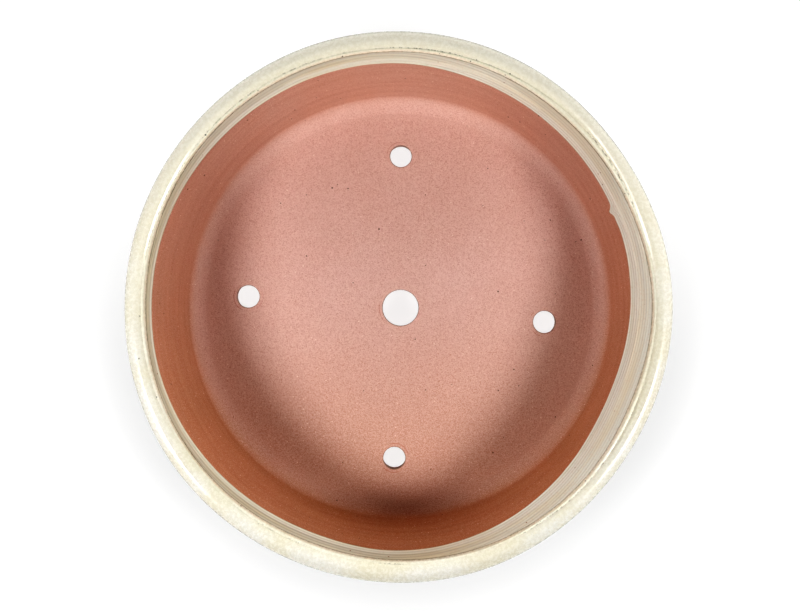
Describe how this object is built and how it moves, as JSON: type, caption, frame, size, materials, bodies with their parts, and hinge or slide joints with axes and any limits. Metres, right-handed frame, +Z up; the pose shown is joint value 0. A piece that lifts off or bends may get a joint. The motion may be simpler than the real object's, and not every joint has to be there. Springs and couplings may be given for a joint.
{
  "type": "bonsai pot",
  "caption": "Round shallow bonsai pot of red clay with a rolled rim, cloud feet, drainage and wire holes, glazed cream outside and left bare inside.",
  "frame": {"origin": "on the pot's axis, level with the soles of the feet", "axes": "+Z up along the pot's axis; +Y towards the back foot and the wire hole in front of it, +X to the right"},
  "size_m": [0.3, 0.3, 0.088],
  "materials": {
    "bare_clay": "unglazed, fine grained, dry matt",
    "cream_glaze": "thick glossy cream glaze with fine iron specks",
    "thin_glaze": "thin streaky beige to mauve glaze, clay showing through"
  },
  "bodies": {
    "root": {"floor_slab": "bare_clay", "side_wall": "bare_clay", "rim_lip": "bare_clay", "foot_1": "bare_clay", "foot_2": "bare_clay", "foot_3": "bare_clay", "wall_glaze": "cream_glaze", "rim_glaze": "cream_glaze", "foot_1_glaze": "cream_glaze", "foot_2_glaze": "cream_glaze", "foot_3_glaze": "cream_glaze", "inner_band_glaze": "thin_glaze"}
  },
  "joints": []
}
